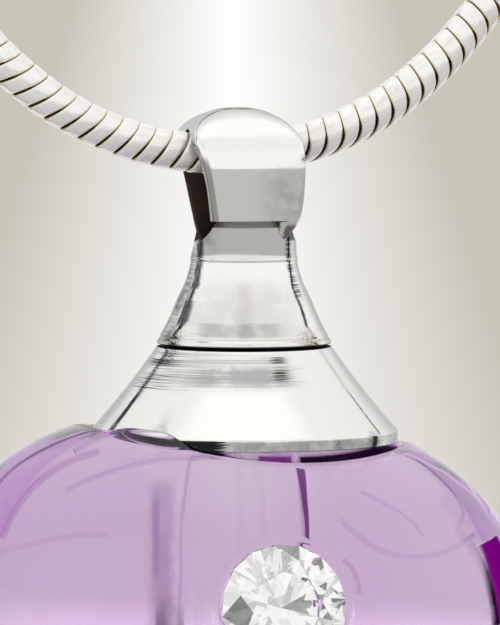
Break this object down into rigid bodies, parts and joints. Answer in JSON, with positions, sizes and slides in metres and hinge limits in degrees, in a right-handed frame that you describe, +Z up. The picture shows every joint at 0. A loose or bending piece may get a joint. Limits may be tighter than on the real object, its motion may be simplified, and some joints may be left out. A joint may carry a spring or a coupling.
{
  "type": "glass locket on a snake chain",
  "caption": "Cushion-shaped glass locket with an inner chamber, a flared collar, a screw-off bail cap and a round stone, hung on a closed snake chain loop.",
  "frame": {"origin": "middle of the barrel clasp, where the loop rests on the nape", "axes": "+Z up, -Y the front, +X the wearer's left; the pendant hangs in front of and below the origin"},
  "size_m": [0.1244, 0.1359, 0.1331],
  "materials": {
    "chain_silver": "satin silver",
    "polished_silver": "polished, with fine turning lines",
    "screw_steel": "plain turned",
    "lavender_glass": "clear lavender glass, fire-polished",
    "clear_stone": "faceted, colourless"
  },
  "bodies": {
    "chain": {"chain": "chain_silver", "clasp": "polished_silver"},
    "cap": {"cap": "polished_silver"},
    "screw": {"screw": "screw_steel"},
    "vessel": {"collar": "polished_silver", "glass": "lavender_glass", "stone": "clear_stone"}
  },
  "joints": [
    {"name": "pendant_swing", "type": "hinge", "parent": "chain", "child": "cap", "pos_m": [0.0008, -0.1242, -0.101], "axis": [1, 0, 0], "range_deg": [-80, 80]},
    {"name": "unscrew", "type": "hinge", "parent": "cap", "child": "screw", "pos_m": [0.0008, -0.1242, -0.1086], "axis": [0, 0, -1], "range_deg": [0, 2520]},
    {"name": "unscrew_travel", "type": "slide", "parent": "screw", "child": "vessel", "axis": [0, 0, -1], "range_m": [0, 0.0035]}
  ],
  "couplings": [
    {"joint": "unscrew_travel", "follows": "unscrew", "m_per_rad": 0.000079577}
  ]
}
